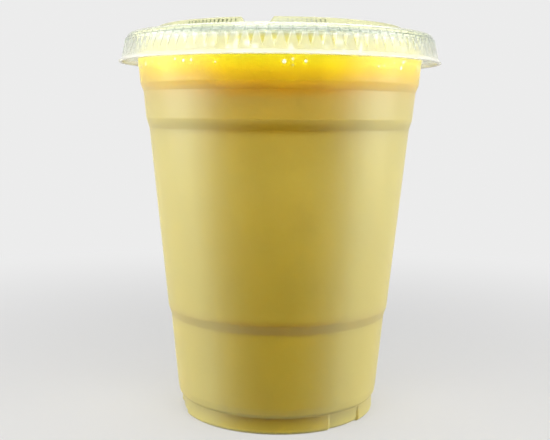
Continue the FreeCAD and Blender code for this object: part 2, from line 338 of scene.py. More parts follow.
@dataclass(frozen=True)
class PaintedMistPlastic(ClearPlastic):
    """Clear plastic under a painted mist, which the flats of its flutes are free of.

    The mist paints light and shade: a highlight along the hem, whiter flutes for their
    highlights and a darker band round the collar as painted shade. A layer of mist is a
    height, then a colour whose alpha is how thick the mist is.
    """

    painted_light_mist: tuple[tuple[float, float, float, float, float], ...] = ()
    flute_count: int = 96
    flute_foot: float = 117.4
    flute_top: float = 121.5
    flute_half: float = 1.15
    flute_radius: float = 51.0
    crown_radius: float = 49.85

    def flute_flats(self, graph: Graph) -> Value:
        """Mask the flat inside each flute.

        Args:
            graph: The material's graph.

        Returns:
            1 on a flat, or else 0.
        """
        x, y, _ = graph.parts(graph.place())
        radius = graph.math("SQRT", x * x + y * y) * (1 / MM)
        turn = graph.math("ARCTAN2", y, x) * (self.flute_count / math.tau)
        pitch = math.tau * self.flute_radius / self.flute_count
        across = graph.math("ABSOLUTE", graph.math("FRACT", turn) - 0.5) * pitch
        spread = self.flute_half / (self.flute_top - self.flute_foot)
        rise = (graph.height() - self.flute_foot) * spread
        skirt = radius.ramp(self.crown_radius - 1.5, self.crown_radius)
        return (1 - (across - rise).ramp(-0.25, 0.15)) * skirt

    def coat(self, graph: Graph) -> Value:
        """Lay the painted mist over the plastic.

        Args:
            graph: The material's graph.

        Returns:
            The shader.
        """
        low, high = self.painted_light_mist[0][0], self.painted_light_mist[-1][0]
        stops = [((layer - low) / (high - low), colour) for layer, *colour in self.painted_light_mist]
        share = (graph.height() - low) / (high - low)
        # The mist's colour and thickness by height: painted highlights on the hem and flutes,
        # painted shade at the collar.
        layers = graph.node("ShaderNodeValToRGB", {"stops": stops}, {0: share})
        blotch = graph.noise(graph.place(), 110.0, 3.0) * 0.9 + 0.55
        clear = graph.noise(graph.place(), 30.0, 1.0).ramp(0.4, 0.6) * 0.4 + 0.6
        cover = layers.sibling("Alpha") * blotch * (1 - self.flute_flats(graph) * clear)
        return graph.lay(cover, self.plastic(graph), self.painted_film(graph, layers))


@dataclass(frozen=True)
class Lassi(Finish):
    """Thick mango lassi: an even creamy yellow, richer near the top, with painted light in
    its bands: painted shade under the foot's shoulder and at the wall's steps, and a
    painted golden glow of light from above near the top.

    A layer is a height, then its colour's red, green and blue.
    """

    layers: tuple[tuple[float, float, float, float], ...]
    mottling: float
    froth: Colour
    level: float

    def surface(self, graph: Graph) -> Value:
        """Make the drink, mottled, streaked near the top and milky at its level.

        Args:
            graph: The material's graph.

        Returns:
            The shader.
        """
        place, height = graph.place(), graph.height()
        mottle = graph.noise(place, 90.0, 4.0)
        streak = graph.noise(graph.stretch(place, (1.0, 1.0, 0.25)), 60.0, 3.0)
        top = self.layers[-1][0]
        stops = [(layer / top, (*colour, 1.0)) for layer, *colour in self.layers]
        drift = height + (streak - 0.5) * height.ramp(100.0, 108.0) * 4
        body = graph.node("ShaderNodeValToRGB", {"stops": stops}, {0: drift / top})
        shade = (mottle * streak).ramp(0.16, 0.42) * self.mottling + (1 - self.mottling)
        body = graph.node("ShaderNodeVectorMath", {"operation": "SCALE"}, {0: body, "Scale": shade})
        milky = height + (mottle - 0.5) * 3 + (streak - 0.5) * 4
        patch = graph.noise(graph.stretch(place, (1.0, 1.0, 2.0)), 45.0, 3.0).ramp(0.42, 0.62)
        cover = milky.ramp(self.level - 5.0, self.level - 3.0) * (0.25 + 0.75 * patch)
        return graph.principled(
            {
                "Base Color": graph.blend(cover, body, self.froth),
                "Roughness": 0.45,
                "Specular IOR Level": 0.05,
                "Subsurface Weight": 0.7,
                "Subsurface Radius": (1.0, 0.85, 0.2),
                "Subsurface Scale": 0.5 * MM,
                "Normal": graph.bump(graph.noise(place, 900.0, 3.0), 0.4, 0.1 * MM),
            }
        )


@dataclass(frozen=True)
class Froth(Finish):
    """Pale milky froth, for bubbles and drips against the wall."""

    light: Colour
    dark: Colour

    def surface(self, graph: Graph) -> Value:
        """Make the froth, finely speckled.

        Args:
            graph: The material's graph.

        Returns:
            The shader.
        """
        speck = graph.noise(graph.place(), 1500.0, 3.0)
        return graph.principled(
            {
                "Base Color": graph.blend(speck, self.dark, self.light),
                "Roughness": 0.4,
                "Subsurface Weight": 0.6,
                "Subsurface Radius": (1.0, 0.8, 0.4),
                "Subsurface Scale": 1 * MM,
            }
        )


@dataclass(frozen=True)
class PalePaper(Finish):
    """The pale paper sweep: it takes shadows, and looks near white to the camera."""

    colour: Colour
    backdrop: Colour
    bounce: Colour
    glow: float
    near: float
    far: float

    def surface(self, graph: Graph) -> Value:
        """Make the paper, which pales away from the middle.

        Args:
            graph: The material's graph.

        Returns:
            The shader.
        """
        darker = tuple(0.97 * part for part in self.colour[:3]) + (1.0,)
        colour = graph.blend(graph.noise(graph.place(), 400.0), darker, self.colour)
        paper = graph.node("ShaderNodeBsdfDiffuse", None, {"Color": colour})
        glow = graph.node("ShaderNodeEmission", None, {"Color": self.backdrop})
        bounce = graph.node("ShaderNodeBsdfDiffuse", None, {"Color": self.bounce})
        away = graph.node("ShaderNodeVectorMath", {"operation": "LENGTH"}, {0: graph.place()}, 1)
        share = self.glow + (1 - self.glow) * away.ramp(self.near, self.far)
        return graph.lay(graph.seen_straight(), bounce, graph.lay(share, paper, glow))


# ---- turned forms


@dataclass(frozen=True)
class Bend:
    """A corner of an outline: its radius, its height and how round it is."""

    radius: float
    height: float
    rounding: float = 0.0

    def moved(self, out: float, up: float = 0.0, tighter: float = 0.0) -> Bend:
        """The same corner, moved outwards and up, and rounded more tightly."""
        return Bend(self.radius + out, self.height + up, self.rounding - tighter)


def arc(centre: Point, radius: float, start: float, end: float, steps: int) -> list[Point]:
    """Points along an arc, both ends included, in so many steps."""
    angles = [math.radians(start + (end - start) * i / steps) for i in range(steps + 1)]
    return [(centre[0] + radius * math.cos(a), centre[1] + radius * math.sin(a)) for a in angles]


def rounded(bends: Sequence[Bend], chord: float = 9.0) -> list[Point]:
    """Trace an outline, with an arc at each bend that is rounded.

    Args:
        bends: The outline's corners, in order.
        chord: The most that one chord of an arc turns.

    Returns:
        The outline's points.
    """
    traced: list[Point] = []
    for i, bend in enumerate(bends):
        here = Vector((bend.radius, bend.height))
        if bend.rounding <= 0 or i in (0, len(bends) - 1):
            traced.append(tuple(here))
            continue
        back = (Vector((bends[i - 1].radius, bends[i - 1].height)) - here).normalized()
        on = (Vector((bends[i + 1].radius, bends[i + 1].height)) - here).normalized()
        turn = math.pi - back.angle(on)
        run = bend.rounding * math.tan(turn / 2)
        centre = here + (back + on).normalized() * (bend.rounding / math.cos(turn / 2))
        steps = max(2, math.ceil(math.degrees(turn) / chord))
        first = here + back * run - centre
        side = math.copysign(1.0, back.cross(on))
        for step in range(steps + 1):
            spin = Matrix.Rotation(-side * turn * step / steps, 2)
            traced.append(tuple(centre + spin @ first))
    return traced


Warp = Callable[[float, float, float], tuple[float, float]]


def unwarped(radius: float, height: float, angle: float) -> Point:
    """Leave a point of a slice where its outline puts it."""
    return radius, height


def ring_place(warp: Warp, point: Point, angle: float) -> Vector:
    """Where a point of an outline lies on a slice.

    Args:
        warp: What bends the plain turned shape.
        point: The outline's point, in millimetres.
        angle: How far round it is, in degrees.

    Returns:
        The place in metres.
    """
    radius, height = warp(point[0], point[1], angle)
    turned = math.radians(angle)
    return Vector((radius * math.cos(turned), radius * math.sin(turned), height)) * MM


def add_strip(
    form: bmesh.types.BMesh, points: Sequence[Point], angles: Sequence[float], warp: Warp
) -> list[list[bmesh.types.BMVert]]:
    """Sweep an outline through a slice's angles.

    Args:
        form: The mesh that gets the strip.
        points: The outline, walked with its outer side on the right.
        angles: The angles of the slice's edges.
        warp: What bends the plain turned shape.

    Returns:
        The vertices, a row for each point of the outline.
    """
    rows = [[form.verts.new(ring_place(warp, p, a)) for a in angles] for p in points]
    for low, high in zip(rows, rows[1:]):
        for i in range(len(angles) - 1):
            form.faces.new((low[i], low[i + 1], high[i + 1], high[i]))
    return rows


def linked(name: str, data: bpy.types.ID) -> bpy.types.Object:
    """Make an object of a mesh, a lamp or a camera.

    Args:
        name: The object's name.
        data: What it is made of.

    Returns:
        The new object, linked to the scene.
    """
    thing = bpy.data.objects.new(name, data)
    bpy.context.scene.collection.objects.link(thing)
    return thing


def mesh_object(name: str, form: bmesh.types.BMesh) -> bpy.types.Object:
    """Make an object of a finished mesh.

    Args:
        name: The object's name.
        form: The mesh, which is freed.

    Returns:
        The new object, linked to the scene.
    """
    mesh = bpy.data.meshes.new(name)
    form.to_mesh(mesh)
    form.free()
    return linked(name, mesh)


# ---- geometry nodes


class NodeTool:
    """A Geometry Nodes tree with named inputs, run once on a mesh."""

    def __init__(self, name: str, inputs: dict[str, float | int]) -> None:
        """Start a tree with its inputs and one for the material.

        Args:
            name: The tree's name.
            inputs: Each input's default, by name, whose type is the input's own.
        """
        self.tree = bpy.data.node_groups.new(name, "GeometryNodeTree")
        self.graph = Graph(self.tree)
        face = self.tree.interface
        for side in ("INPUT", "OUTPUT"):
            face.new_socket("Geometry", in_out=side, socket_type="NodeSocketGeometry")
        for label, default in inputs.items():
            kind = "NodeSocketInt" if isinstance(default, int) else "NodeSocketFloat"
            face.new_socket(label, in_out="INPUT", socket_type=kind).default_value = default
        face.new_socket("Material", in_out="INPUT", socket_type="NodeSocketMaterial")
        self.start = self.graph.node("NodeGroupInput")

    def read(self, label: str) -> Value:
        """One of the tree's inputs, by its name."""
        return self.start.sibling(label)

    def chance(self, low: Term) -> Value:
        """A random number from low to 1 for each copy, drawn by the tree's seed."""
        sockets = {2: low, 3: 1.0, "Seed": self.read("Seed")}
        return self.graph.node("FunctionNodeRandomValue", {"data_type": "FLOAT"}, sockets, 1)

    def turned(self, turn: Value, scale: Term = (1.0, 1.0, 1.0)) -> Value:
        """Copy the host's shape round the vertical axis.

        Args:
            turn: How far each copy is turned.
            scale: How each copy is scaled.

        Returns:
            The copies.
        """
        line = {"Count": self.read("Count"), "Offset": (0.0, 0.0, 0.0)}
        sockets = {
            "Points": self.graph.node("GeometryNodeMeshLine", None, line),
            "Instance": self.read("Geometry"),
            "Rotation": self.graph.node("ShaderNodeCombineXYZ", None, {2: turn}),
            "Scale": scale,
        }
        return self.graph.node("GeometryNodeInstanceOnPoints", None, sockets)

    def close(self, copies: Value, weld: Value | None = None) -> None:
        """End the tree: realize the copies, weld them if asked and set the material.

        Args:
            copies: The copies that the tree made.
            weld: How near to each other points are merged.
        """
        real = self.graph.node("GeometryNodeRealizeInstances", None, {0: copies})
        if weld is not None:
            sockets = {"Geometry": real, "Distance": weld}
            real = self.graph.node("GeometryNodeMergeByDistance", None, sockets)
        sockets = {"Geometry": real, "Material": self.read("Material")}
        dressed = self.graph.node("GeometryNodeSetMaterial", None, sockets)
        self.graph.node("NodeGroupOutput", None, {0: dressed})

    def run(self, host: bpy.types.Object, name: str, **values: Term) -> bpy.types.Object:
        """Run the tree on a host mesh and keep the result as a plain mesh.

        Args:
            host: The object whose mesh the tree reads, which is then removed.
            name: The result's name.
            values: The inputs, by their names in small letters.

        Returns:
            The new object.
        """
        modifier = host.modifiers.new(name, "NODES")
        modifier.node_group = self.tree
        for item in self.tree.interface.items_tree:
            if item.in_out == "INPUT" and item.name.lower() in values:
                modifier[item.identifier] = values[item.name.lower()]
        bpy.context.view_layer.update()
        seen = host.evaluated_get(bpy.context.evaluated_depsgraph_get())
        mesh = bpy.data.meshes.new_from_object(seen)
        mesh.name = name
        host.modifiers.remove(modifier)
        bpy.data.objects.remove(host)
        return linked(name, mesh)


class TurnedCopies(NodeTool):
    """Copies a slice round the vertical axis and welds the copies together."""

    def __init__(self) -> None:
        """Build the tree."""
        super().__init__("turned copies", {"Count": 3, "Weld": WELD})
        turn = self.graph.node("GeometryNodeInputIndex") * math.tau / self.read("Count")
        self.close(self.turned(turn), self.read("Weld"))


class ArcRow(NodeTool):
    """Sets copies of a small shape along an arc round the vertical axis."""

    def __init__(self) -> None:
        """Build the tree."""
        inputs = {"Count": 13, "Start": 0.0, "Pitch": 0.034, "Jitter": 0.4, "Seed": 4}
        super().__init__("row along an arc", inputs)
        index = self.graph.node("GeometryNodeInputIndex")
        turn = self.read("Start") + index * self.read("Pitch")
        sizes = {0: 1.0, 1: self.chance(1 - self.read("Jitter")), 2: 1.0}
        self.close(self.turned(turn, self.graph.node("ShaderNodeCombineXYZ", None, sizes)))


class ScatteredBubbles(NodeTool):
    """Scatters bubbles over a patch of surface, a few large and many small."""

    def __init__(self) -> None:
        """Build the tree."""
        sizes = {"Smallest": 0.15 * MM, "Largest": 0.75 * MM, "Thickness": 0.2}
        super().__init__("scattered bubbles", {"Density": 110000.0, "Seed": 11, **sizes})
        graph = self.graph
        patch = {label: self.read(label) for label in ("Density", "Seed")}
        patch["Mesh"] = self.read("Geometry")
        points = graph.node("GeometryNodeDistributePointsOnFaces", None, patch)
        chance = self.chance(0.0)
        spread = self.read("Largest") - self.read("Smallest")
        size = self.read("Smallest") + spread * chance * chance
        sizes = {0: size, 1: size, 2: size * self.read("Thickness")}
        ball = {"Radius": 1.0, "Subdivisions": 2}
        sockets = {
            "Points": points,
            "Instance": graph.node("GeometryNodeMeshIcoSphere", None, ball),
            "Rotation": points.sibling("Rotation"),
            "Scale": graph.node("ShaderNodeCombineXYZ", None, sizes),
        }
        self.close(graph.node("GeometryNodeInstanceOnPoints", None, sockets))


def finish_piece(
    piece: bpy.types.Object, replaces: Iterable[str] = (), crease: float = 35.0
) -> None:
    """Smooth a piece and tie it to the frame.

    Args:
        piece: The finished piece.
        replaces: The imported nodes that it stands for.
        crease: The angle past which an edge stays sharp, in degrees.
    """
    mesh = piece.data
    mesh.polygons.foreach_set("use_smooth", [True] * len(mesh.polygons))
    mesh.set_sharp_from_angle(angle=math.radians(crease))
    mesh.calc_loop_triangles()
    triangles = len(mesh.loop_triangles)
    if triangles > PIECE_LIMIT:
        raise ValueError(f"{piece.name} has {triangles} triangles")
    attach(piece, BODY)
    for node in replaces:
        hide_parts(node)
    low, high = (pick(corner[2] for corner in piece.bound_box) / MM for pick in (min, max))
    LOG.info("%s: %d triangles, z %.1f to %.1f mm", piece.name, triangles, low, high)


def steps_between(start: float, end: float, pitch: float) -> list[float]:
    """Even steps from one angle to another, the end left out."""
    count = max(1, round((end - start) / pitch))
    return [start + (end - start) * i / count for i in range(count)]


def smooth_step(value: float, low: float, high: float) -> float:
    """Rise smoothly from 0 at low to 1 at high."""
    share = min(max((value - low) / (high - low), 0.0), 1.0)
    return share * share * (3 - 2 * share)


# ---- the cup


@dataclass
class Cup:
    """The thin cup, drawn up from a lobed foot to a rolled lip."""

    lip_height: float
    copier: TurnedCopies
    wall: float = 0.45
    miter: float = 0.19
    punt: Bend = Bend(25.6, 3.2, 0.7)
    stand: Bend = Bend(28.8, 0.0, 0.7)
    foot: Bend = Bend(32.55, 0.0, 1.2)
    neck: Bend = Bend(32.4, 5.4, 0.25)
    shoulder: Bend = Bend(33.3, 6.3, 1.4)
    bands: tuple[Bend, ...] = (
        Bend(33.72, 8.6, 3.0),
        Bend(34.1, 12.8, 12.0),
        Bend(35.98, 32.6, 2.6),
        Bend(36.92, 35.4, 2.6),
        Bend(42.85, 94.3, 2.6),
        Bend(43.85, 97.5, 2.6),
        Bend(44.66, 106.0, 1.3),
        Bend(45.64, 108.5, 2.6),
    )
    lip_wall_radius: float = 47.0
    lip_radius: float = 49.0
    recess_count: int = 3
    recess_middle: float = 72.5
    recess_half: float = 11.5
    recess_depth: float = 0.8
    recess_top: float = 5.2

    @property
    def lip_centre(self) -> Point:
        """The centre that the lip is rolled about."""
        roll = (self.lip_radius - self.lip_wall_radius + self.wall) / 2
        return self.lip_radius - roll, self.lip_height - roll

    def side(self, inset: float) -> list[Bend]:
        """The wall's outline, from the middle of the floor to under the lip.

        Args:
            inset: How far inside the outer surface it runs.

        Returns:
            The outline's bends.
        """
        turn = inset / self.wall * self.miter
        return [
            Bend(0.0, self.punt.height + inset),
            self.punt.moved(turn, inset),
            self.stand.moved(turn, inset),
            self.foot.moved(-inset, inset, inset),
            self.neck.moved(-inset, turn),
            self.shoulder.moved(-inset, turn, inset),
            *(band.moved(-inset) for band in self.bands),
            Bend(self.lip_wall_radius - inset, self.lip_centre[1]),
        ]

    def radius_at(self, height: float, inset: float) -> float:
        """The wall's radius in the top band.

        Args:
            height: How high it is read.
            inset: How far inside the outer surface.

        Returns:
            The radius.
        """
        foot = self.bands[-1]
        share = (height - foot.height) / (self.lip_centre[1] - foot.height)
        return foot.radius + (self.lip_wall_radius - foot.radius) * share - inset

    def press_foot(self, radius: float, height: float, angle: float) -> Point:
        """Press the recesses into the foot.

        Args:
            radius: A point's radius on the plain turned cup.
            height: Its height.
            angle: How far round it is.

        Returns:
            Its radius and height once pressed.
        """
        off = abs(angle - self.recess_middle)
        across = 1 - smooth_step(off, self.recess_half - 0.5, self.recess_half + 1.1)
        below = 1 - smooth_step(height, self.recess_top - 0.5, self.recess_top + 0.25)
        outer = smooth_step(radius, self.stand.radius + 1.2, self.foot.radius - 1.2)
        return radius - self.recess_depth * across * below * outer, height

    def slice_angles(self) -> list[float]:
        """The angles of one third of the cup, closer where a recess ends.

        Returns:
            The angles, both ends included.
        """
        half_turn = 180.0 / self.recess_count
        start, end = self.recess_middle - half_turn, self.recess_middle + half_turn
        edges = [self.recess_middle + side * self.recess_half for side in (-1, 1)]
        stops = [start, *(edge + off for edge in edges for off in (-1.4, 1.4)), end]
        angles: list[float] = []
        for low, high, pitch in zip(stops, stops[1:], (1.5, 0.35, 1.5, 0.35, 1.5)):
            angles += steps_between(low, high, pitch)
        return angles + [end]

    def outline(self) -> list[Point]:
        """The whole thin section: outside, rolled lip and inside.

        Returns:
            The outline's points.
        """
        small = (self.lip_radius - self.lip_wall_radius - self.wall) / 2
        outside, inside = (rounded(self.side(inset))[:-1] for inset in (0.0, self.wall))
        hollow = arc(self.lip_centre, small, 180.0, -90.0, 18)
        back = arc(self.lip_centre, small + self.wall, -90.0, 180.0, 24)
        return outside + hollow + back + inside[::-1]

    def turn(self, name: str, points: list[Point], warp: Warp, finish: Finish) -> bpy.types.Object:
        """Turn an outline into a whole piece.

        Args:
            name: The piece's name.
            points: Its outline.
            warp: What bends its plain turned shape.
            finish: Its look.

        Returns:
            The piece.
        """
        form = bmesh.new()
        add_strip(form, points, self.slice_angles(), warp)
        part = mesh_object("slice", form)
        return self.copier.run(part, name, count=self.recess_count, material=finish.material())

    def build(self, finish: ClearPlastic) -> None:
        """Make the cup of its plastic."""
        cup = self.turn("clear_cup", self.outline(), self.press_foot, finish)
        finish_piece(cup, ["cup"])


# ---- the drink


@dataclass
class Drink:
    """The lassi, which reaches just into the cup's wall, and its froth.

    A drip is an angle, a height, a width and a length.
    """

    cup: Cup
    level: float
    reach: float = 0.22
    wave_height: float = 0.2
    wave_length: float = 9.0
    drips: tuple[tuple[float, float, float, float], ...] = (
        (-105.8, 117.8, 1.5, 3.6),
        (-86.4, 117.2, 1.7, 2.6),
        (-60.5, 117.6, 1.3, 4.2),
        (158.0, 117.6, 1.4, 3.4),
        (74.0, 117.4, 1.6, 3.0),
    )
    drip_thickness: float = 0.18

    @property
    def inset(self) -> float:
        """How far inside the cup's outer surface the drink ends."""
        return self.cup.wall - self.reach

    def outline(self) -> list[Point]:
        """The drink's outline, from the middle of its floor to its middle on top.

        Returns:
            The outline's points.
        """
        brim = Bend(self.cup.radius_at(self.level, self.inset), self.level)
        side = rounded([*self.cup.side(self.inset)[:-1], brim])
        shares = [0.985, 0.93, 0.8, *(1 - i / 14 for i in range(4, 15))]
        return side + [(brim.radius * share, self.level) for share in shares]

    def ripple(self, radius: float, height: float, angle: float) -> Point:
        """Press the foot, and let the surface rise and fall a little.

        Args:
            radius: A point's radius on the plain turned drink.
            height: Its height.
            angle: How far round it is.

        Returns:
            Its radius and height in the drink.
        """
        if height < self.level - 0.01:
            return self.cup.press_foot(radius, height, angle)
        wave = math.sin(math.radians(3 * angle)) * math.sin(radius / self.wave_length)
        inward = smooth_step(self.level * 0.38 - radius, 0.0, 8.0)
        return radius, height - self.wave_height + wave * self.wave_height * inward

    def build(self, finish: Lassi) -> None:
        """Make the drink and give it its look."""
        drink = self.cup.turn("mango_lassi", self.outline(), self.ripple, finish)
        finish_piece(drink, ["lassi"])

    def run_drips(self, look: bpy.types.Material) -> None:
        """Run a few drips of froth down the wall, behind the skirt.

        Args:
            look: The froth's material.
        """
        form = bmesh.new()
        for angle, height, width, length in self.drips:
            drip = bmesh.ops.create_icosphere(form, subdivisions=3, radius=1.0)["verts"]
            for vert in drip:
                narrow = 0.72 + 0.28 * smooth_step(-vert.co.z, -1.0, 0.6)
                across, out = vert.co.y * width * narrow / 2, vert.co.x * self.drip_thickness
                rise = height + vert.co.z * length / 2
                radius = self.cup.radius_at(rise, self.inset) + out
                turn = angle + math.degrees(across / radius)
                vert.co = ring_place(unwarped, (radius, rise), turn)
        froth = mesh_object("froth_drips", form)
        froth.data.materials.append(look)
        finish_piece(froth)

    def scatter(self, bubbles: ScatteredBubbles, finish: Froth) -> None:
        """Scatter froth bubbles under the surface, against the wall, and add drips.

        Args:
            bubbles: What scatters them.
            finish: Their look.
        """
        look = finish.material()
        self.run_drips(look)
        for name, span, smallest, largest, seed in (
            ("froth_on_wall", (112.6, 115.0), 0.15, 0.75, 11),
            ("froth_at_rim", (116.6, 119.6), 0.2, 1.0, 7),
        ):
            form = bmesh.new()
            strip = [(self.cup.radius_at(height, self.inset), height) for height in span]
            add_strip(form, strip, [i * 3.0 for i in range(121)], unwarped)
            froth = bubbles.run(
                mesh_object("patch", form),
                name,
                smallest=smallest * MM,
                largest=largest * MM,
                seed=seed,
                material=look,
            )
            finish_piece(froth)


# ---- the lid


@dataclass
class Lid:
    """The thin lid: fluted skirt, rim channel, trough, broken ridge and panel."""

    top: float
    copier: TurnedCopies
    hem_radius: float = 52.66
    hem_foot: float = 115.3
    hem_top: float = 115.8
    skirt_foot: Point = (51.8, 116.0)
    skirt_top: Point = (50.6, 121.5)
    collar: Point = (50.42, 122.6)
    crown_radius: float = 49.85
    crown_foot: float = 122.85
    crown_top: float = 124.25
    plug_radius: float = 46.1
    trough: Point = (45.7, 121.7)
    ridge_foot_radius: float = 41.9
    ridge_outer_radius: float = 39.9
    ridge_inner_radius: float = 37.4
    panel: Point = (36.5, 124.2)
    wall: float = 0.4
    flute_count: int = 96
    flute_foot: float = 117.4
    flute_depth: float = 0.85
    flute_slope: float = 1.35
    gap_count: int = 4
    gap_middle: float = 80.2
    gap_half_floor: float = 3.35
    gap_slope: float = 0.58
    slit_half_length: float = 10.5
    slit_half_width: float = 0.25
    seam_parts: int = 4
    fine_parts: int = 12
    tick_size: tuple[float, float, float] = (0.3, 0.55, 1.1)
    tick_edge: float = 0.08
    tick_drop: float = 1.15
    tick_pitch: float = 1.95

    @property
    def flute_pitch(self) -> float:
        """The angle from one flute to the next."""
        return 360.0 / self.flute_count

    def panel_radii(self) -> list[float]:
        """Radii of the flat panel's rings, with one where the slits end."""
        inner = [self.slit_half_length * share for share in (0.06, 0.3, 0.6, 0.97)]
        return [0.0, *inner, self.slit_half_length + 0.3, 18.0, 27.0, 33.0]

    def crown_side(self, face: Face) -> list[Point]:
        """One face of the lid above its skirt, from the middle to the collar.

        Args:
            face: The face of the wall.

        Returns:
            The outline's points.
        """
        inset = self.inset(face)
        soft = 0.7 + inset
        tight = max(0.15, 0.7 - inset)
        bends = [
            Bend(self.panel_radii()[-1], self.panel[1] - inset),
            Bend(self.panel[0] + inset, self.panel[1] - inset, soft),
            Bend(self.ridge_inner_radius + inset, self.top - inset, tight),
            Bend(self.ridge_outer_radius - inset, self.top - inset, tight),
            Bend(self.ridge_foot_radius - inset, self.trough[1] - inset, soft),
            Bend(self.trough[0] + inset, self.trough[1] - inset, soft),
            Bend(self.plug_radius + inset, self.crown_top - inset, tight),
            Bend(self.crown_radius - inset, self.crown_top - inset, 1.2 - inset),
            Bend(self.crown_radius - inset, self.crown_foot - inset / 2, 0.12),
            Bend(self.collar[0] - inset, self.collar[1] - inset / 2),
        ]
        flat = [(radius, self.panel[1] - inset) for radius in self.panel_radii()[:-1]]
        return flat + rounded(bends, 20.0)

    def inset(self, face: Face) -> float:
        """How far a face of the wall lies under the outer one."""
        return self.wall if face is Face.INNER else 0.0

    def break_ridge(self, inset: float, radius: float, height: float, angle: float) -> Point:
        """Lower the ridge into its gaps, whose ends slope apart.

        Args:
            inset: How far the face lies under the outer one.
            radius: A point's radius on the plain ridge.
            height: Its height.
            angle: How far round it is.

        Returns:
            Its radius and height in the broken ridge.
        """
        if not self.panel[0] - 1 < radius < self.ridge_foot_radius + 0.5:
            return radius, height
        across = abs(radius * math.radians(angle - self.gap_middle))
        rise = (across - self.gap_half_floor - inset) / self.gap_slope
        return radius, min(height, self.panel[1] - inset + max(0.0, rise))

    def open_slits(self, place: Vector) -> Vector:
        """Part the panel along its crossed slits.

        Args:
            place: A point of the crown's slice, in its first quarter.

        Returns:
            Where it lies in the slit panel.
        """
        if math.hypot(place.x, place.y) > self.slit_half_length * MM:
            return place
        half = self.slit_half_width * MM
        return Vector((max(place.x, half), max(place.y, half), place.z))

    def crown_slice(self) -> bpy.types.Object:
        """A quarter of the lid above its skirt.

        Returns:
            The slice's object.
        """
        pitch = self.flute_pitch / self.seam_parts
        angles = [pitch * i for i in range(round(90 / pitch) + 1)]
        form = bmesh.new()
        upper, lower = (
            add_strip(
                form,
                self.crown_side(face)[::step],
                angles,
                partial(self.break_ridge, self.inset(face)),
            )
            for face, step in ((Face.OUTER, -1), (Face.INNER, 1))
        )
        for vert in form.verts:
            vert.co = self.open_slits(vert.co)
        opened = sum(radius < self.slit_half_length for radius in self.panel_radii())
        top, under = upper[::-1][: opened + 1], lower[: opened + 1]
        for edge, flip in ((0, False), (-1, True)):
            for i in range(opened):
                corners = [top[i][edge], under[i][edge], under[i + 1][edge], top[i + 1][edge]]
                form.faces.new(corners[::-1] if flip else corners)
        return mesh_object("crown_slice", form)

    def flute_warp(self, radius: float, height: float, angle: float) -> Point:
        """Press a flute into the skirt: wide at the top, a point at its foot.

        Args:
            radius: A point's radius on the plain skirt.
            height: Its height.
            angle: How far round it is.

        Returns:
            Its radius and height in the fluted skirt.
        """
        top = self.skirt_top[1]
        share = (height - self.flute_foot) / (top - self.flute_foot)
        if share <= 0 or height > top + 0.35:
            return radius, height
        depth = self.flute_depth * min(share, 1.0)
        across = abs(radius * math.radians(angle - self.flute_pitch / 2))
        press = max(0.0, depth - across / self.flute_slope)
        fade = 1 - smooth_step(height, top, top + 0.3)
        return radius - press * fade, height

    def skirt_side(self, face: Face) -> list[Point]:
        """One face of the skirt, from the collar down to the hem.

        Args:
            face: The face of the wall.

        Returns:
            The outline's points.
        """
        inset = self.inset(face)
        (low_radius, low), (high_radius, high) = self.skirt_foot, self.skirt_top
        span = high - low
        shares = (0.0, 0.02, 0.1, 0.22, 0.36, 0.5, 0.62, 0.745)
        points = [
            (self.collar[0], self.collar[1] - inset / 2),
            (high_radius - 0.05, high + 0.32),
            (high_radius - 0.02, high + 0.12),
            *((high_radius + (low_radius - high_radius) * s, high - span * s) for s in shares),
        ]
        return [(radius - inset, height) for radius, height in points]

    def hem(self) -> list[Point]:
        """The outline round the hem, from the outer side to the inner one.

        Returns:
            The outline's points.
        """
        radius, low = self.skirt_foot
        bends = [
            Bend(radius - 0.1, low + 0.5),
            Bend(radius + 0.04, self.hem_top + 0.03, 0.2),
            Bend(self.hem_radius, self.hem_top, 0.2),
            Bend(self.hem_radius, self.hem_foot, 0.2),
            Bend(radius - self.wall, self.hem_foot, 0.15),
            Bend(radius - self.wall - 0.1, low + 0.5),
        ]
        return rounded(bends, 30.0)

    def skirt_slice(self) -> bpy.types.Object:
        """One flute's width of the skirt.

        Returns:
            The slice's object.
        """
        pitch = self.flute_pitch
        seam = [pitch * i / self.seam_parts for i in range(self.seam_parts + 1)]
        fine = [pitch * i / self.fine_parts for i in range(self.fine_parts + 1)]
        outside, inside = self.skirt_side(Face.OUTER), self.skirt_side(Face.INNER)
        form = bmesh.new()
        walk = outside[1:] + self.hem() + inside[1:][::-1]
        rows = add_strip(form, walk[::-1], fine, self.flute_warp)[::-1]
        each = self.fine_parts // self.seam_parts
        for point, row, flip in ((outside[0], rows[0], False), (inside[0], rows[-1], True)):
            edge = [form.verts.new(ring_place(unwarped, point, angle)) for angle in seam]
            for i in range(self.seam_parts):
                run = row[i * each : (i + 1) * each + 1]
                corners = [*run, edge[i + 1], edge[i]]
                form.faces.new(corners[::-1] if flip else corners)
        return mesh_object("skirt_slice", form)

    def build(self, finish: ClearPlastic) -> None:
        """Make the lid in one piece.

        Args:
            finish: The lid's plastic.
        """
        look = finish.material()
        form = bmesh.new()
        for part, count in (
            (self.crown_slice(), self.gap_count),
            (self.skirt_slice(), self.flute_count),
        ):
            whole = self.copier.run(part, "lid_part", count=count, material=look)
            form.from_mesh(whole.data)
            bpy.data.objects.remove(whole)
        bmesh.ops.remove_doubles(form, verts=form.verts, dist=WELD)
        lid = mesh_object("clear_lid", form)
        lid.data.materials.append(look)
        finish_piece(lid, ["lid"], crease=28.0)

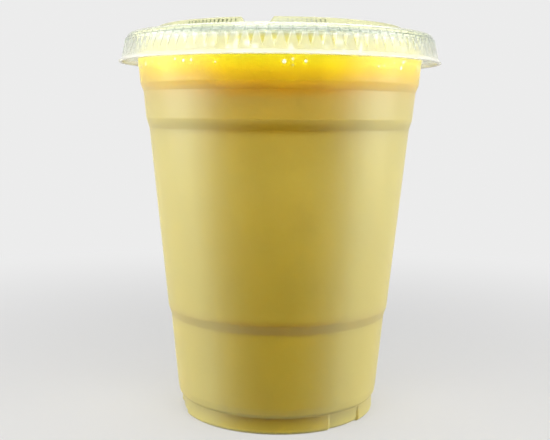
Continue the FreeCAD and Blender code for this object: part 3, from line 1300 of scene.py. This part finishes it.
    def mark_ridge(self, rows: ArcRow, finish: ClearPlastic) -> None:
        """Set plain ticks on the ridge's outer face, on each side of the front gap.

        Args:
            rows: What sets copies along an arc.
            finish: The ticks' plastic.
        """
        foot = self.ridge_foot_radius - self.ridge_outer_radius
        lean = math.atan2(foot, self.top - self.trough[1])
        radius = self.ridge_outer_radius + self.tick_drop * math.tan(lean)
        place = Vector((radius, 0, self.top - self.tick_drop)) * MM
        edge = self.tick_edge * MM
        look = finish.material()
        for name, start, count, seed in (
            ("ridge_ticks_left", -42.0, 13, 4),
            ("ridge_ticks_right", -1.0, 11, 9),
        ):
            form = bmesh.new()
            bmesh.ops.create_cube(form, size=1.0)
            bmesh.ops.scale(form, vec=Vector(self.tick_size) * MM, verts=form.verts)
            bmesh.ops.bevel(form, geom=form.edges, offset=edge, segments=2, affect="EDGES")
            bmesh.ops.rotate(form, matrix=Matrix.Rotation(-lean, 3, "Y"), verts=form.verts)
            bmesh.ops.translate(form, vec=place, verts=form.verts)
            ticks = rows.run(
                mesh_object("tick", form),
                name,
                count=count,
                start=math.radians(start - 90.0),
                pitch=math.radians(self.tick_pitch),
                seed=seed,
                material=look,
            )
            finish_piece(ticks)


# ---- the stage


@dataclass(frozen=True)
class Lamp:
    """A soft rectangular lamp, with its place, target and size in metres."""

    name: str
    place: tuple[float, float, float]
    target: tuple[float, float, float]
    size: Point
    watts: float

    def hang(self) -> None:
        """Hang the lamp."""
        light = bpy.data.lights.new(self.name, "AREA")
        light.shape = "RECTANGLE"
        light.size, light.size_y = self.size
        light.energy = self.watts
        lamp = linked(self.name, light)
        lamp.location = self.place
        aim = Vector(self.target) - Vector(self.place)
        lamp.rotation_euler = aim.to_track_quat("-Z", "Y").to_euler()


@dataclass
class Stage:
    """A pale sweep, soft lamps and the camera."""

    reach: float = 3.0
    paper: PalePaper = PalePaper(
        name="pale_floor",
        colour=(0.8, 0.8, 0.8, 1.0),
        backdrop=(0.84, 0.84, 0.84, 1.0),
        bounce=(0.12, 0.12, 0.12, 1.0),
        glow=0.5,
        near=0.08,
        far=0.36,
    )
    room_light: float = 0.05
    lamps: tuple[Lamp, ...] = (
        Lamp("left_box", (-0.44, -0.09, 0.08), (0, 0, 0.06), (0.4, 0.14), 1.62),
        Lamp("right_box", (0.44, -0.09, 0.08), (0, 0, 0.06), (0.4, 0.14), 1.62),
        Lamp("front_box", (0.0, -0.13, 0.22), (0, 0, 0.09), (0.16, 0.06), 0.24),
        Lamp("top_box", (0.0, 0.35, 0.6), (0, 0, 0.08), (0.6, 0.4), 1.8),
    )
    lens: float = 57.32
    eye: tuple[float, float, float] = (-1.121, -294.22, 98.18)
    pitch: float = 6.723
    roll: float = 0.491

    def floor(self) -> None:
        """Lay the pale floor."""
        form = bmesh.new()
        bmesh.ops.create_grid(form, x_segments=2, y_segments=2, size=self.reach)
        floor = mesh_object("floor", form)
        floor.data.materials.append(self.paper.material())

    def world(self) -> None:
        """Fill the room with a dim even light that looks pale to the camera."""
        world = bpy.data.worlds.new("pale_room")
        world.use_nodes = True
        bpy.context.scene.world = world
        graph = Graph(world.node_tree)
        dim = {"Color": (1, 1, 1, 1), "Strength": self.room_light}
        room = graph.node("ShaderNodeBackground", None, dim)
        backdrop = graph.node("ShaderNodeBackground", None, {"Color": self.paper.backdrop})
        mixed = graph.lay(graph.seen_straight(), room, backdrop)
        graph.node("ShaderNodeOutputWorld", None, {"Surface": mixed})

    def camera(self) -> None:
        """Set the camera up."""
        lens = bpy.data.cameras.new("camera")
        lens.lens = self.lens
        lens.clip_start = 0.01
        camera = linked("camera", lens)
        tilt = Matrix.Rotation(math.radians(90 - self.pitch), 4, "X")
        level = Matrix.Rotation(math.radians(self.roll), 4, "Z")
        camera.matrix_world = Matrix.Translation(Vector(self.eye) * MM) @ tilt @ level
        bpy.context.scene.camera = camera

    def build(self) -> None:
        """Set the whole stage."""
        self.floor()
        self.world()
        for lamp in self.lamps:
            lamp.hang()
        self.camera()
        bpy.context.scene.view_settings.view_transform = "Standard"


def main() -> None:
    """Build the pieces in order, from the cup to the stage."""
    logging.basicConfig(level=logging.INFO, format="%(name)s %(message)s")
    cup_top, level, lid_top = (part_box(node)[1].z / MM for node in ("cup", "lassi", "lid"))
    copier = TurnedCopies()
    cup = Cup(cup_top, copier)
    lid = Lid(lid_top, copier)
    cup_plastic = ClearPlastic(
        name="cup_plastic",
        tint=(0.985, 0.99, 0.98, 1.0),
        roughness=0.28,
        cloudiness=0.08,
        wave=0.05,
        wave_grain=60.0,
        refraction=1.25,
    )
    lid_plastic = PaintedMistPlastic(
        name="lid_plastic",
        tint=(0.985, 0.99, 0.985, 1.0),
        roughness=0.08,
        cloudiness=0.1,
        wave=0.04,
        wave_grain=90.0,
        refraction=1.4,
        painted_light_mist=(
            # Hem: painted highlight where the ledge catches the light.
            (115.3, 0.78, 0.77, 0.70, 0.42),
            (116.3, 0.76, 0.76, 0.68, 0.40),
            # Flutes: whiter mist for their highlights, the flats kept clear.
            (117.0, 0.62, 0.64, 0.54, 0.28),
            (119.5, 0.60, 0.63, 0.54, 0.26),
            (121.6, 0.56, 0.60, 0.52, 0.28),
            # Collar: a darker band, painted shade.
            (122.1, 0.32, 0.37, 0.30, 0.50),
            (123.1, 0.32, 0.37, 0.30, 0.50),
            (123.8, 0.50, 0.54, 0.36, 0.36),
            (124.2, 0.56, 0.56, 0.33, 0.50),
            (126.7, 0.58, 0.58, 0.35, 0.50),
        ),
        flute_count=lid.flute_count,
    )
    tick_plastic = ClearPlastic(
        name="ridge_mark_plastic",
        tint=(0.22, 0.26, 0.20, 1.0),
        roughness=0.2,
        cloudiness=0.1,
        wave=0.02,
        wave_grain=300.0,
    )
    lassi = Lassi(
        name="mango_lassi",
        layers=(
            # Darker up to 4.8 and back at 6.5: painted shade under the shoulder, over the foot.
            (0.5, 0.43, 0.33, 0.03),
            (2.2, 0.38, 0.28, 0.015),
            (4.8, 0.25, 0.15, 0.0),
            (6.5, 0.38, 0.27, 0.01),
            (31.4, 0.39, 0.275, 0.01),
            # Darker at 33.2 and 35.0: painted shade under the low step.
            (33.2, 0.29, 0.165, 0.0),
            (35.0, 0.29, 0.165, 0.0),
            (37.4, 0.385, 0.275, 0.015),
            (80.0, 0.40, 0.30, 0.04),
            (92.5, 0.36, 0.26, 0.03),
            # Darker at 94.3 and 95.6: painted shade under the upper step, painted lighter again at
            # 97.4.
            (94.3, 0.26, 0.155, 0.0),
            (95.6, 0.275, 0.17, 0.0),
            (97.4, 0.38, 0.265, 0.03),
            (103.0, 0.36, 0.24, 0.03),
            # Amber at 106.2: painted shade under the top step; 107.8 is painted lighter against
            # that step's shade.
            (106.2, 0.39, 0.20, 0.0),
            (107.8, 0.54, 0.305, 0.0),
            (108.8, 0.48, 0.30, 0.0),
            # From 110 to 115 the drink turns golden: a painted glow of light from above, through
            # the lid.
            (110.0, 0.53, 0.335, 0.0),
            (111.7, 0.585, 0.40, 0.0),
            (113.3, 0.60, 0.47, 0.0),
            (115.0, 0.56, 0.48, 0.01),
            (120.0, 0.50, 0.43, 0.02),
        ),
        mottling=0.09,
        froth=(0.50, 0.44, 0.09, 1.0),
        level=level,
    )
    froth = Froth("froth", (0.97, 0.91, 0.62, 1.0), (0.95, 0.86, 0.46, 1.0))
    cup.build(cup_plastic)
    drink = Drink(cup, level)
    drink.build(lassi)
    drink.scatter(ScatteredBubbles(), froth)
    lid.build(lid_plastic)
    lid.mark_ridge(ArcRow(), tick_plastic)
    Stage().build()


if __name__ == "__main__":
    main()
